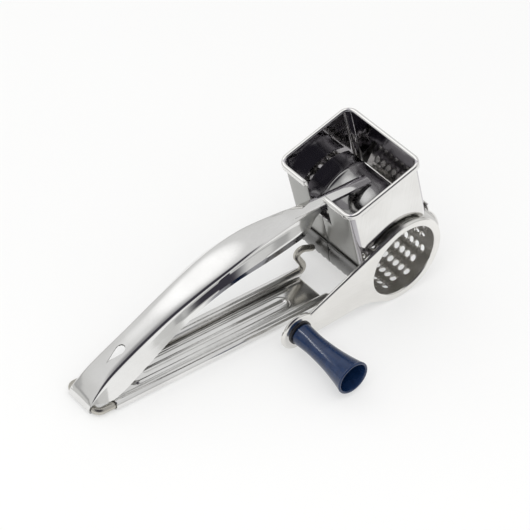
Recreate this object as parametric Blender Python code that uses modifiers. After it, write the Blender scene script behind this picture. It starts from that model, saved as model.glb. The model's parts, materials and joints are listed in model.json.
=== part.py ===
"""Hand-held rotary grater: a square hopper over a turning grating drum, a crank
with a free-turning knob, a fixed lower handle on a bent wire frame, and a hinged
upper handle whose tongue carries the curved presser down into the hopper.

Metres, +Z up, +X forward (from the handles to the hopper), crank on the -Y side.
The origin is on the resting plane, at the middle of the lower handle's underside.
"""
import math

import bmesh
import bpy
from mathutils import Matrix, Vector

# ---------------------------------------------------------------- driving sizes
SHEET = 0.0007              # pressed steel sheet
GAP = 0.0003                # between pieces that touch or run on each other
TILT = math.radians(20.3)   # the hopper leans back from the handle's plane

HOPPER_LENGTH = 0.0456      # inside, front to back
HOPPER_WIDTH = 0.0524       # inside, side to side
HOPPER_RISE = 0.0582        # rim above the drum's axis
HOPPER_CORNER = 0.0040      # inside radius of the upright corners
RIM_WIDTH = 0.0024          # rolled rim, from the wall's inner face outwards
RIM_DEPTH = 0.0030
NOTCH_WIDTH = 0.0144        # slot in the rear wall for the presser's tongue
NOTCH_FLOOR = 0.0340        # above the drum's axis
FOOT_RISE = 0.0014          # lower ends of the walls, above where the guards curve away
SIDE_RELIEF = 0.0012        # extra room under the side wall, behind the drum's crown

DRUM_RADIUS = 0.0220        # outside of the drum's sheet
TOOTH_HEIGHT = 0.0013       # what the raised teeth stand out from it
DRUM_FAR_END = 0.0245       # from the middle plane to the drum's closed end
DRUM_ROWS = 12
DRUM_COLUMNS = 9
HOLE_RADIUS = 0.0014
HOLE_PITCH = 0.0046         # along the drum
FIRST_HOLE = 0.0075         # from the drum's open end

FRONT_GUARD_ROOM = 0.0055   # outside of each guard, beyond the drum's teeth
REAR_GUARD_ROOM = 0.0023
GUARD_SWELL = 0.0018        # the least that a guard stands out from its wall
GUARD_END_CLEARANCE = 0.0004
GUARD_LAP = 0.0040          # how far each guard laps over its wall
FRONT_GUARD_END = math.radians(-30)     # lower end, above the horizontal
REAR_GUARD_END = math.radians(189)
COLLAR_DEPTH = 0.0024       # near bearing collar, along the axis
EAR_RISE = 0.0060           # top of the far plate, above the front guard's lap

RING_FLANGE = 0.0038        # of the crank's ring, beyond the drum
ARM_LENGTH = 0.0721         # drum axis to knob axis
ARM_DROOP = math.radians(10.4)
TIP_RADIUS = 0.0108
ARM_DEPTH = 0.0020          # plate and its turned-back edge
ARM_CLEARANCE = 0.0004      # between the turned-back edge and the rim
ARM_TAPER = 0.111           # slope of the arm's lower edge
ARM_ROOT = 0.0082           # where that edge leaves the ring's curve, beyond the ring

KNOB_LENGTH = 0.0398
KNOB_BASE_RADIUS = 0.0061
KNOB_WAIST_RADIUS = 0.0057
KNOB_END_RADIUS = 0.0095
KNOB_WALL = 0.0016
KNOB_BORE_DEPTH = 0.0250
SPINDLE_RADIUS = 0.0020
PEEN_WIDTH = 0.0012         # of the spindle's two riveted heads, beyond its shank
WASHER_THICKNESS = 0.0006

AXLE_RADIUS = 0.0025
AXLE_HEAD_RADIUS = 0.0045
BUSH_WALL = 0.0017
BUSH_FLANGE = 0.0020
BUSH_FLANGE_DEPTH = 0.0010
BUSH_STAND = 0.0012         # what the bush stands out of the far plate
DISC_INSET = 0.0008         # end disc, inside the drum's closed end
AXLE_HEAD_DEPTH = 0.0018
AXLE_TAIL = 0.0014          # what the axle stands out of its clip
CLIP_WIDTH = 0.0022
CLIP_THICKNESS = 0.0008

WIRE_RADIUS = 0.0019
WIRE_BEND = 0.0030          # centre-line radius of the wire's rear corners
WIRE_FOLD = 0.0034          # and of its front bends
WIRE_TOE = 0.0062           # far leg's lower bend, ahead of the plate's front edge
WIRE_KNEE = 0.0079          # its upper bend, behind that edge
KNEE_RISE = 0.0224
FAR_WELD_RISE = 0.0180      # the legs' welded ends: height and place across
FAR_WELD_ASIDE = 0.0105
NEAR_WELD_RISE = 0.0165
NEAR_WELD_ASIDE = 0.0215
NEAR_TURN = 0.0030          # near leg's outward bend, ahead of the plate's front edge
NEAR_FOOT = 0.0065          # and its upward one
PLATE_LENGTH = 0.1400       # lower handle
PLATE_REAR_SPAN = 0.0228    # between the wire's legs, at the plate's two ends
PLATE_FRONT_SPAN = 0.0238
GUARD_AHEAD = 0.0079        # plate's front edge to the rear guard
PIN_BEHIND = 0.0100         # plate's rear edge to the hinge pin
RIB_WIDTH = 0.0096
RIB_LENGTH = 0.1060
RIB_HEIGHT = 0.0010
RIB_GROOVE = 0.0026

PRESS_ANGLE = math.radians(3.4)         # travel from rest down to the drum
PRESSER_CLEARANCE = 0.0005              # presser to teeth, fully squeezed
PRESSER_SIDE_GAP = 0.0018
PRESSER_FRONT = math.radians(35)        # arc ahead of and behind its crown
PRESSER_REAR = math.radians(48)
TONGUE_HALF_WIDTH = 0.0032
TONGUE_REACH = 0.0050       # end of the tongue, behind the drum's axis
TEARDROP_WIDTH = 0.0050
TEARDROP_LENGTH = 0.0108
TEARDROP_PLACE = 0.0126     # its pointed end, ahead of the hinge pin

# ------------------------------------------------------------- derived places
TOOTH_RADIUS = DRUM_RADIUS + TOOTH_HEIGHT
GUARD_LAP_X = HOPPER_LENGTH / 2 + SHEET + GAP           # inner face of both guards' laps
FRONT_GUARD_RADIUS = max(TOOTH_RADIUS + FRONT_GUARD_ROOM, GUARD_LAP_X + GUARD_SWELL)
REAR_GUARD_RADIUS = max(TOOTH_RADIUS + REAR_GUARD_ROOM, GUARD_LAP_X + GUARD_SWELL)
FRONT_LEAVES = math.acos(GUARD_LAP_X / (FRONT_GUARD_RADIUS - SHEET))    # lap turns into curve
REAR_LEAVES = math.acos(GUARD_LAP_X / (REAR_GUARD_RADIUS - SHEET))
FRONT_FOOT = GUARD_LAP_X * math.tan(FRONT_LEAVES) + FOOT_RISE
REAR_FOOT = GUARD_LAP_X * math.tan(REAR_LEAVES) + FOOT_RISE
RING_OPENING = DRUM_RADIUS - SHEET - GAP                # mouth in the crank's ring
RING_RADIUS = DRUM_RADIUS + RING_FLANGE
DRUM_X = PLATE_LENGTH / 2 + GUARD_AHEAD + REAR_GUARD_RADIUS
DRUM_Z = RING_RADIUS
PIN_X = -PLATE_LENGTH / 2 - PIN_BEHIND
CURL_RADIUS = WIRE_RADIUS + GAP + SHEET         # outside of a sheet rolled on the wire
WIRE_Z = CURL_RADIUS
HALF_LENGTH = HOPPER_LENGTH / 2
HALF_WIDTH = HOPPER_WIDTH / 2
RIM_SIDE = HALF_WIDTH + RIM_WIDTH
ARM_FACE = -(RIM_SIDE + ARM_CLEARANCE + ARM_DEPTH)      # outer face of the crank
ARM_BACK = ARM_FACE + SHEET
DRUM_NEAR_END = ARM_BACK + GAP
SIDE_PLATE = HALF_WIDTH + SHEET + GAP                   # inner face of the far plate
BUSH_RADIUS = AXLE_RADIUS + GAP + BUSH_WALL

ROUND = 48                  # facets of the large round pieces
SMALL_ROUND = 24

# ------------------------------------------------------------------- the scene
for old in list(bpy.data.objects):
    bpy.data.objects.remove(old, do_unlink=True)
parts = bpy.data.collections.new("rotary_grater")
cutters = bpy.data.collections.new("cutters")
for group in (parts, cutters):
    bpy.context.scene.collection.children.link(group)


def steel(name, grey, roughness):
    return finish(name, (grey, grey, grey * 0.98), 1.0, roughness)


def finish(name, colour, metallic, roughness):
    material = bpy.data.materials.new(name)
    material.use_nodes = True
    shader = material.node_tree.nodes["Principled BSDF"]
    shader.inputs["Base Color"].default_value = (*colour, 1.0)
    shader.inputs["Metallic"].default_value = metallic
    shader.inputs["Roughness"].default_value = roughness
    return material


# --------------------------------------------------------------------- helpers
def axis_frame(name, location, x_axis, y_axis, parent=None):
    """An empty at a joint's axis or a piece's own frame, its Z across the first two."""
    empty = bpy.data.objects.new(name, None)
    parts.objects.link(empty)
    z_axis = Vector(x_axis).cross(Vector(y_axis))
    turn = Matrix((x_axis, y_axis, z_axis)).transposed()
    empty.matrix_world = Matrix.Translation(location) @ turn.to_4x4()
    attach(empty, parent)
    return empty


def attach(child, parent):
    """Parent an object and keep it where it stands in the world."""
    if parent is None:
        return
    bpy.context.view_layer.update()
    place = child.matrix_world.copy()
    child.parent = parent
    child.matrix_parent_inverse = parent.matrix_world.inverted()
    child.matrix_world = place


def add_object(name, data, frame, material=None, group=parts):
    """Link an object that is modelled in the given frame."""
    item = bpy.data.objects.new(name, data)
    group.objects.link(item)
    item.parent = frame
    if material is not None:
        item.data.materials.append(material)
    if group is cutters:
        item.hide_render = True
        item.display_type = "WIRE"
    return item


def mesh_from(name, bm):
    mesh = bpy.data.meshes.new(name)
    bmesh.ops.recalc_face_normals(bm, faces=bm.faces)
    bm.to_mesh(mesh)
    bm.free()
    mesh.shade_smooth()
    mesh.set_sharp_from_angle(angle=math.radians(30))
    return mesh


def shell(item, thickness, offset):
    layer = item.modifiers.new("Sheet", "SOLIDIFY")
    layer.thickness = thickness
    layer.offset = offset
    layer.use_even_offset = True
    return layer


def combine(item, other, operation):
    step = item.modifiers.new(operation.title(), "BOOLEAN")
    step.operation = operation
    step.solver = "EXACT"
    step.object = other


def box(name, low, high, frame, material=None, group=cutters):
    low, high = Vector(low), Vector(high)
    bm = bmesh.new()
    bmesh.ops.create_cube(bm, size=1.0)
    bmesh.ops.scale(bm, vec=high - low, verts=bm.verts)
    bmesh.ops.translate(bm, vec=(low + high) / 2, verts=bm.verts)
    return add_object(name, mesh_from(name, bm), frame, material, group)


def turned(name, profile, frame, material=None, group=parts, steps=SMALL_ROUND):
    """Spin a closed profile of (radius, height) points about the frame's Z axis."""
    bm = bmesh.new()
    corners = [bm.verts.new((radius, 0, height)) for radius, height in profile]
    for here, there in zip(corners, corners[1:] + corners[:1]):
        if max(here.co.x, there.co.x) > 0:
            bm.edges.new((here, there))
    mesh = bpy.data.meshes.new(name)
    bm.to_mesh(mesh)
    bm.free()
    item = add_object(name, mesh, frame, material, group)
    spin = item.modifiers.new("Turn", "SCREW")
    spin.axis = "Z"
    spin.steps = steps
    spin.render_steps = steps
    spin.use_merge_vertices = True
    spin.merge_threshold = 0.00001
    spin.use_smooth_shade = True
    return item


def tube_profile(inner, outer, low, high):
    """A plain ring's section, outer side first and running down."""
    return [(outer, high), (outer, low), (inner, low), (inner, high)]


def arc(radius, start, end, steps, centre=(0.0, 0.0)):
    """Points on an arc, from start to end in radians."""
    angles = [start + (end - start) * i / steps for i in range(steps + 1)]
    return [(centre[0] + radius * math.cos(a), centre[1] + radius * math.sin(a)) for a in angles]


def plate(name, outlines, low, high, frame, material=None, group=parts):
    """A flat sheet with the given outlines, between two heights along the frame's Z."""
    curve = bpy.data.curves.new(name, "CURVE")
    curve.dimensions = "2D"
    curve.fill_mode = "BOTH"
    curve.extrude = (high - low) / 2
    curve.render_resolution_u = 0
    for outline in outlines:
        spline = curve.splines.new("POLY")
        spline.points.add(len(outline) - 1)
        for point, (x, y) in zip(spline.points, outline):
            point.co = (x, y, 0.0, 1.0)
        spline.use_cyclic_u = True
    rough = bpy.data.objects.new(name + "_outline", curve)
    cutters.objects.link(rough)
    bpy.context.view_layer.update()
    graph = bpy.context.evaluated_depsgraph_get()
    mesh = bpy.data.meshes.new_from_object(rough.evaluated_get(graph))
    bpy.data.objects.remove(rough)
    bm = bmesh.new()
    bm.from_mesh(mesh)
    bpy.data.meshes.remove(mesh)
    bmesh.ops.remove_doubles(bm, verts=bm.verts, dist=0.000001)
    bmesh.ops.translate(bm, vec=(0, 0, (low + high) / 2), verts=bm.verts)
    return add_object(name, mesh_from(name, bm), frame, material, group)


def loft(name, sections, frame, material, group=parts):
    """An open sheet through sections that all have the same number of points."""
    bm = bmesh.new()
    rows = [[bm.verts.new(point) for point in section] for section in sections]
    for row, following in zip(rows, rows[1:]):
        for i in range(len(row) - 1):
            bm.faces.new((row[i], row[i + 1], following[i + 1], following[i]))
    return add_object(name, mesh_from(name, bm), frame, material, group)


def strip(name, profile, near, far, frame, material):
    """A bent sheet: an (x, z) profile drawn out along Y."""
    sections = [[(x, y, z) for x, z in profile] for y in (near, far)]
    return loft(name, sections, frame, material)


def smooth(rows, steps):
    """Catmull-Rom curve through rows of numbers."""
    padded = [rows[0], *rows, rows[-1]]
    result = []
    for before, start, end, after in zip(padded, padded[1:], padded[2:], padded[3:]):
        for i in range(steps):
            t = i / steps
            result.append(tuple(
                0.5 * (2 * b + (c - a) * t + (2 * a - 5 * b + 4 * c - d) * t * t
                       + (3 * b - a - 3 * c + d) * t ** 3)
                for a, b, c, d in zip(before, start, end, after)))
    result.append(tuple(rows[-1]))
    return result


def rounded_path(points, radii, steps):
    """A route of straight runs whose inner corners are rounded to the given radii."""
    route = [Vector(points[0])]
    for before, corner, after, radius in zip(points, points[1:], points[2:], radii):
        corner = Vector(corner)
        back = (Vector(before) - corner).normalized()
        ahead = (Vector(after) - corner).normalized()
        half = back.angle(ahead) / 2
        centre = corner + (back + ahead).normalized() * radius / math.sin(half)
        start = corner + back * radius / math.tan(half) - centre
        end = corner + ahead * radius / math.tan(half) - centre
        sweep = start.angle(end)
        for i in range(steps + 1):
            t = i / steps
            share = (math.sin((1 - t) * sweep), math.sin(t * sweep))
            route.append(centre + (start * share[0] + end * share[1]) / math.sin(sweep))
    route.append(Vector(points[-1]))
    return route


# ---------------------------------------------------------------------- frames
FORWARD, ASIDE = (1, 0, 0), (0, 1, 0)
LEAN_X = (math.cos(TILT), 0, math.sin(TILT))        # forward in the leaning hopper
LEAN_Z = (-math.sin(TILT), 0, math.cos(TILT))       # up in the leaning hopper
DRUM_CENTRE = (DRUM_X, 0, DRUM_Z)

hopper_frame = axis_frame("hopper_frame", DRUM_CENTRE, LEAN_X, ASIDE)
side_frame = axis_frame("side_frame", DRUM_CENTRE, [-c for c in LEAN_X], LEAN_Z)
crank_pivot = axis_frame("crank_pivot", DRUM_CENTRE,
                         (-math.cos(ARM_DROOP), 0, -math.sin(ARM_DROOP)),
                         (-math.sin(ARM_DROOP), 0, math.cos(ARM_DROOP)))
knob_pivot = axis_frame("knob_pivot",
                        Vector(DRUM_CENTRE) + ARM_LENGTH * crank_pivot.matrix_world.to_3x3().col[0],
                        crank_pivot.matrix_world.to_3x3().col[0],
                        crank_pivot.matrix_world.to_3x3().col[1], crank_pivot)
lever_pivot = axis_frame("lever_pivot", (PIN_X, 0, WIRE_Z), FORWARD, ASIDE)
handle_frame = axis_frame("handle_frame", (0, 0, 0), FORWARD, ASIDE)
bpy.context.view_layer.update()

POLISHED = steel("polished_steel", 0.80, 0.10)
DARK_STEEL = steel("drum_steel", 0.62, 0.22)
WIRE_STEEL = steel("wire_steel", 0.58, 0.28)
TURNED_STEEL = steel("turned_steel", 0.66, 0.20)
BLUE_PLASTIC = finish("blue_plastic", (0.02, 0.04, 0.16), 0.0, 0.22)
BUSH_PLASTIC = finish("bush_plastic", (0.75, 0.74, 0.70), 0.0, 0.45)


# ---------------------------------------------------------------------- hopper
def hopper_tube(name, clearance, foot, top, thickness, group):
    """The hopper's four walls as one open tube, thickened outwards."""
    bm = bmesh.new()
    bmesh.ops.create_cube(bm, size=1.0)
    size = (HOPPER_LENGTH + 2 * clearance, HOPPER_WIDTH + 2 * clearance, top - foot)
    bmesh.ops.scale(bm, vec=size, verts=bm.verts)
    bmesh.ops.translate(bm, vec=(0, 0, (top + foot) / 2), verts=bm.verts)
    ends = [f for f in bm.faces if abs(f.normal.z) > 0.5]
    bmesh.ops.delete(bm, geom=ends, context="FACES")
    upright = [e for e in bm.edges if abs(e.verts[0].co.z - e.verts[1].co.z) > 0.001]
    bmesh.ops.bevel(bm, geom=upright, offset=HOPPER_CORNER + clearance, segments=5,
                    profile=0.5, affect="EDGES")
    item = add_object(name, mesh_from(name, bm), hopper_frame, None, group)
    shell(item, thickness, 1.0)
    return item


def build_hopper():
    hopper = hopper_tube("hopper", 0.0, REAR_FOOT, HOPPER_RISE - GAP, SHEET, parts)
    hopper.data.materials.append(POLISHED)
    rim = hopper_tube("rim_band", SHEET / 2, HOPPER_RISE - RIM_DEPTH, HOPPER_RISE,
                      RIM_WIDTH - SHEET / 2, cutters)
    soften = rim.modifiers.new("Rolled", "BEVEL")
    soften.width = 0.0009
    soften.segments = 2
    soften.limit_method = "ANGLE"
    soften.angle_limit = math.radians(60)
    combine(hopper, rim, "UNION")

    beyond = HALF_LENGTH + 0.01
    aside = HALF_WIDTH + 0.01
    notch = box("notch", (-beyond, -NOTCH_WIDTH / 2, NOTCH_FLOOR),
                (-HALF_LENGTH + HOPPER_CORNER, NOTCH_WIDTH / 2, HOPPER_RISE + 0.01), hopper_frame)
    front = box("front_foot", (HALF_LENGTH - HOPPER_CORNER / 2, -aside, 0), (beyond, aside, FRONT_FOOT),
                hopper_frame)
    crown = DRUM_RADIUS + TOOTH_HEIGHT + GAP
    side = box("side_relief", (-HALF_LENGTH + HOPPER_CORNER + SHEET, -aside, 0),
               (0, -HALF_WIDTH + HOPPER_CORNER, crown + SIDE_RELIEF), hopper_frame)
    bore = turned("drum_room", [(crown, aside), (crown, -aside), (0, -aside), (0, aside)],
                  crank_pivot, None, cutters, ROUND)
    for cutter in (notch, front, side, bore):
        combine(hopper, cutter, "DIFFERENCE")


def build_guards():
    """Curved covers ahead of and behind the drum, lapped on the hopper's walls."""
    side = HALF_WIDTH - GUARD_END_CLEARANCE
    front = [(GUARD_LAP_X, FRONT_FOOT + GUARD_LAP)]
    front += arc(FRONT_GUARD_RADIUS - SHEET, FRONT_LEAVES, FRONT_GUARD_END, 14)
    guard = strip("front_guard", front, -side, side, hopper_frame, POLISHED)
    shell(guard, SHEET, -1.0 if leans_out(guard, FORWARD) else 1.0)

    rear = [(-GUARD_LAP_X, REAR_FOOT + GUARD_LAP)]
    rear += arc(REAR_GUARD_RADIUS - SHEET, math.pi - REAR_LEAVES, REAR_GUARD_END, 8)
    guard = strip("rear_guard", rear, -side, side, hopper_frame, POLISHED)
    shell(guard, SHEET, -1.0 if leans_out(guard, (-1, 0, 0)) else 1.0)


def leans_out(item, outward):
    """Whether the open sheet's normals point inwards, so that the shell must flip."""
    facing = sum((f.normal.dot(Vector(outward)) * f.area for f in item.data.polygons))
    return facing < 0


def build_bearings():
    inner = DRUM_RADIUS + GAP
    near = DRUM_NEAR_END + GAP
    turned("near_collar", tube_profile(inner, inner + SHEET, near, near + COLLAR_DEPTH),
           crank_pivot, POLISHED, steps=ROUND)

    radius = REAR_GUARD_RADIUS - SHEET - GAP
    ear = HALF_LENGTH - HOPPER_CORNER
    shoulder = math.acos(ear / radius)
    rounded = arc(radius, -math.pi - shoulder, shoulder, 28)
    top = FRONT_FOOT + GUARD_LAP + EAR_RISE
    outline = rounded + [(ear, top), (-ear, top)]
    hole = arc(BUSH_RADIUS + GAP, 0, 2 * math.pi, SMALL_ROUND)[:-1]
    plate("far_side_plate", [outline, hole], SIDE_PLATE, SIDE_PLATE + SHEET, side_frame, POLISHED)

    wide = BUSH_RADIUS + BUSH_FLANGE
    flange_top = SIDE_PLATE - GAP
    flange_low = flange_top - BUSH_FLANGE_DEPTH
    out = SIDE_PLATE + SHEET + BUSH_STAND
    bore = AXLE_RADIUS + GAP
    turned("far_bearing_bush", [(BUSH_RADIUS, out), (BUSH_RADIUS, flange_top), (wide, flange_top),
                                (wide, flange_low), (bore, flange_low), (bore, out)],
           crank_pivot, BUSH_PLASTIC)
    return out


# ----------------------------------------------------------------- lower handle
def leg_span(x):
    """Half the distance between the wire's legs at a place along the lower handle."""
    share = (x + PLATE_LENGTH / 2) / PLATE_LENGTH
    return (PLATE_REAR_SPAN + (PLATE_FRONT_SPAN - PLATE_REAR_SPAN) * share) / 2


def build_handle_plate():
    """The lower handle: one sheet whose long edges are rolled round the wire's legs."""
    roll = WIRE_RADIUS + GAP
    curl = arc(roll + SHEET, math.radians(-90), math.radians(205), 16)
    sections = []
    for x in (-PLATE_LENGTH / 2, PLATE_LENGTH / 2):
        span = leg_span(x)
        far_side = [(x, span + y, WIRE_Z + z) for y, z in curl]
        near_side = [(x, -y, z) for x, y, z in reversed(far_side)]
        sections.append(near_side + far_side)
    handle = loft("handle_plate", sections, handle_frame, POLISHED)
    middle = min(handle.data.polygons, key=lambda f: f.center.xy.length + f.center.z)
    shell(handle, SHEET, -1.0 if middle.normal.z < 0 else 1.0)

    half = RIB_LENGTH / 2 - RIB_WIDTH / 2
    for name, width, low, operation in (("rib", RIB_WIDTH, SHEET / 2, "UNION"),
                                        ("rib_groove", RIB_GROOVE, SHEET + RIB_HEIGHT / 3, "DIFFERENCE")):
        ends = (arc(width / 2, -math.pi / 2, math.pi / 2, 8, (half, 0))
                + arc(width / 2, math.pi / 2, 3 * math.pi / 2, 8, (-half, 0)))
        high = SHEET + RIB_HEIGHT + (0.001 if operation == "DIFFERENCE" else 0.0)
        combine(handle, plate(name, [ends], low, high, handle_frame, None, cutters), operation)


def guard_rear(rise):
    """Where a wire's centre line stands when the wire just misses the rear guard."""
    reach = REAR_GUARD_RADIUS + GAP + WIRE_RADIUS
    return DRUM_X - math.sqrt(reach ** 2 - (DRUM_Z - rise) ** 2) - GAP


def build_wire():
    """One bent wire: both legs, the hinge pin between, and ends welded to the rear guard."""
    rear, front = -PLATE_LENGTH / 2, PLATE_LENGTH / 2
    far_rear = [(rear, leg_span(rear), WIRE_Z), (PIN_X, leg_span(rear), WIRE_Z)]
    near_rear = [(x, -y, z) for x, y, z in far_rear]
    far = [(guard_rear(FAR_WELD_RISE) + WIRE_RADIUS / 2, FAR_WELD_ASIDE, FAR_WELD_RISE),
           (front - WIRE_KNEE, leg_span(front), KNEE_RISE),
           (front + WIRE_TOE, leg_span(front), WIRE_Z), *far_rear]
    near = [(guard_rear(NEAR_WELD_RISE), -NEAR_WELD_ASIDE, NEAR_WELD_RISE),
            (front + NEAR_FOOT, -NEAR_WELD_ASIDE, WIRE_Z + WIRE_FOLD),
            (front + NEAR_TURN, -leg_span(front), WIRE_Z), *near_rear]
    radii = [WIRE_FOLD, WIRE_FOLD, 0.05, WIRE_BEND, WIRE_BEND, 0.05, WIRE_FOLD, WIRE_FOLD]
    route = rounded_path(far + near[::-1], radii, 5)
    curve = bpy.data.curves.new("frame_wire", "CURVE")
    curve.dimensions = "3D"
    curve.bevel_depth = WIRE_RADIUS
    curve.bevel_resolution = 3
    curve.use_fill_caps = True
    curve.render_resolution_u = 0
    spline = curve.splines.new("POLY")
    spline.points.add(len(route) - 1)
    for point, place in zip(spline.points, route):
        point.co = (*place, 1.0)
    add_object("frame_wire", curve, handle_frame, WIRE_STEEL)


# ------------------------------------------------------------------------ crank
def crank_outline(inset):
    """Ring, tapering arm and round tip, drawn inwards by the inset."""
    ring = RING_RADIUS - inset
    tip = TIP_RADIUS - inset
    upper = math.radians(142)
    lower = math.radians(232)
    shoulder = (ARM_LENGTH + tip * math.cos(upper), tip * math.sin(upper))
    heel = (ARM_LENGTH + tip * math.cos(lower), tip * math.sin(lower))
    distance = math.hypot(*shoulder)
    leaves = math.atan2(shoulder[1], shoulder[0]) + math.acos(ring / distance)
    root = RING_RADIUS + ARM_ROOT
    joins = (root, heel[1] - ARM_TAPER * (heel[0] - root))
    meets = math.radians(-52)
    landing = (ring * math.cos(meets), ring * math.sin(meets))
    corner = (root - 0.010, joins[1] - ARM_TAPER * 0.010)
    outline = arc(ring, leaves, 2 * math.pi + meets, 34)
    outline += [blend(landing, corner, joins, t) for t in (0.25, 0.5, 0.75, 1.0)]
    outline += arc(tip, lower - 2 * math.pi, upper, 20, (ARM_LENGTH, 0))
    return outline


def blend(start, control, end, t):
    return tuple((1 - t) ** 2 * a + 2 * t * (1 - t) * b + t * t * c
                 for a, b, c in zip(start, control, end))


def build_crank():
    opening = arc(RING_OPENING, 0, 2 * math.pi, ROUND)[:-1]
    spindle_hole = arc(SPINDLE_RADIUS + GAP, 0, 2 * math.pi, 16, (ARM_LENGTH, 0))[:-1]
    crank = plate("crank_arm", [crank_outline(0.0), opening, spindle_hole],
                  ARM_FACE, ARM_FACE + ARM_DEPTH, crank_pivot, POLISHED)
    pocket = plate("crank_pocket", [crank_outline(SHEET)],
                   ARM_BACK, ARM_FACE + ARM_DEPTH + 0.001, crank_pivot, None, cutters)
    combine(crank, pocket, "DIFFERENCE")


def build_drum():
    inner = DRUM_RADIUS - SHEET
    drum = turned("grating_drum", tube_profile(inner, DRUM_RADIUS, DRUM_NEAR_END, DRUM_FAR_END),
                  crank_pivot, DARK_STEEL, steps=ROUND)
    bm = bmesh.new()
    for row in range(DRUM_ROWS):
        turn = Matrix.Rotation(2 * math.pi * (row + 0.5) / DRUM_ROWS, 4, "Z")
        for column in range(DRUM_COLUMNS):
            stagger = HOLE_PITCH / 2 * (row % 2)
            height = DRUM_NEAR_END + FIRST_HOLE + column * HOLE_PITCH + stagger
            punch = bmesh.ops.create_cone(bm, cap_ends=True, segments=6, radius1=HOLE_RADIUS,
                                          radius2=HOLE_RADIUS, depth=0.006)["verts"]
            lay = Matrix.Translation((DRUM_RADIUS, 0, height)) @ Matrix.Rotation(math.pi / 2, 4, "Y")
            bmesh.ops.transform(bm, matrix=turn @ lay, verts=punch)
    holes = add_object("drum_holes", mesh_from("drum_holes", bm), crank_pivot, None, cutters)
    combine(drum, holes, "DIFFERENCE")


def build_axle(bush_end):
    disc_far = DRUM_FAR_END - DISC_INSET
    disc_near = disc_far - SHEET
    turned("drum_end_disc", tube_profile(AXLE_RADIUS + GAP, DRUM_RADIUS - SHEET - GAP,
                                         disc_near, disc_far),
           crank_pivot, DARK_STEEL, steps=ROUND)
    head_far = disc_near - GAP
    clip_near = bush_end + GAP
    end = clip_near + CLIP_THICKNESS + AXLE_TAIL
    chamfer = 0.0004
    crown = AXLE_HEAD_DEPTH / 3
    turned("drum_axle", [(0, end), (AXLE_RADIUS - chamfer, end), (AXLE_RADIUS, end - chamfer),
                         (AXLE_RADIUS, head_far), (AXLE_HEAD_RADIUS, head_far),
                         (AXLE_HEAD_RADIUS, head_far - AXLE_HEAD_DEPTH + crown),
                         (0, head_far - AXLE_HEAD_DEPTH)],
           crank_pivot, TURNED_STEEL)
    turned("axle_clip", tube_profile(AXLE_RADIUS + GAP, AXLE_RADIUS + CLIP_WIDTH,
                                     clip_near, clip_near + CLIP_THICKNESS),
           crank_pivot, TURNED_STEEL)


def build_knob():
    """Flared hollow knob, the spindle it turns on and a washer at each of its ends."""
    base = ARM_FACE - GAP - WASHER_THICKNESS - GAP
    end = base - KNOB_LENGTH
    floor = end + KNOB_BORE_DEPTH
    bore = SPINDLE_RADIUS + GAP
    chamfer = 0.0006
    flare = smooth([(KNOB_BASE_RADIUS, -chamfer), (KNOB_WAIST_RADIUS, -0.0110), (0.0064, -0.0220),
                    (0.0077, -0.0310), (KNOB_END_RADIUS, -KNOB_LENGTH + chamfer)], 3)
    outer = [(KNOB_BASE_RADIUS - chamfer, 0.0), *flare]
    lip = KNOB_END_RADIUS - KNOB_WALL
    inner = [(lip, end), (lip - 0.0010, end + 0.0070), (KNOB_WAIST_RADIUS - KNOB_WALL, floor)]
    profile = [(radius, base + z) for radius, z in outer]
    profile += [(KNOB_END_RADIUS - chamfer, end), *inner, (bore, floor), (bore, base)]
    turned("knob", profile, knob_pivot, BLUE_PLASTIC, steps=28)

    washer_in, washer_out = bore, SPINDLE_RADIUS + 0.0017
    turned("knob_washer", tube_profile(washer_in, KNOB_BASE_RADIUS + 0.0008,
                                       ARM_FACE - GAP - WASHER_THICKNESS, ARM_FACE - GAP),
           knob_pivot, TURNED_STEEL)
    turned("knob_end_washer", tube_profile(washer_in, washer_out, floor - GAP - WASHER_THICKNESS,
                                           floor - GAP), knob_pivot, TURNED_STEEL)
    back = ARM_BACK + GAP
    tail = floor - 2 * GAP - WASHER_THICKNESS
    peen = SPINDLE_RADIUS + PEEN_WIDTH
    turned("knob_spindle", [(0, back + 0.0008), (peen, back + 0.0005), (peen, back),
                            (SPINDLE_RADIUS, back), (SPINDLE_RADIUS, tail), (peen, tail),
                            (peen, tail - 0.0006), (0, tail - 0.0011)],
           knob_pivot, TURNED_STEEL)


# ------------------------------------------------------------------ upper handle
# Stations ahead of the hinge pin: distance, height, half width of the top, how far
# the flanges spread, and how deep they hang. They are drawn for a handle of this run
# from the pin to the hopper's rim and this rise to the tongue, and follow the real ones.
DRAWN_RUN = 0.1397
DRAWN_RISE = 0.0593
HANDLE_STATIONS = [
    (-0.0018, 0.0030, 0.0079, 0.0002, 0.0003),
    (0.0000, 0.0058, 0.0078, 0.0008, 0.0018),
    (0.0053, 0.0112, 0.0075, 0.0032, 0.0074),
    (0.0134, 0.0170, 0.0071, 0.0042, 0.0121),
    (0.0300, 0.0269, 0.0069, 0.0042, 0.0112),
    (0.0467, 0.0363, 0.0073, 0.0038, 0.0084),
    (0.0640, 0.0444, 0.0081, 0.0033, 0.0064),
    (0.0816, 0.0513, 0.0087, 0.0032, 0.0066),
    (0.1000, 0.0564, 0.0079, 0.0036, 0.0092),
    (0.1197, 0.0584, 0.0059, 0.0034, 0.0104),
    (0.1310, 0.0588, 0.0044, 0.0026, 0.0088),
    (0.1390, 0.0590, 0.0034, 0.0008, 0.0034),
]


def handle_section(x, z, half, spread, depth):
    """The channel's section: crowned top, rolled shoulders and spread flanges."""
    crown = 0.0006
    right = [(x, half * 0.5, z + crown * 0.7), (x, half - 0.0009, z),
             (x, half, z - 0.1 * depth - 0.0001), (x, half + spread * 0.45, z - 0.5 * depth),
             (x, half + spread, z - depth)]
    left = [(x, -y, z) for x, y, z in reversed(right)]
    return left + [(x, 0, z + crown)] + right


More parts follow.
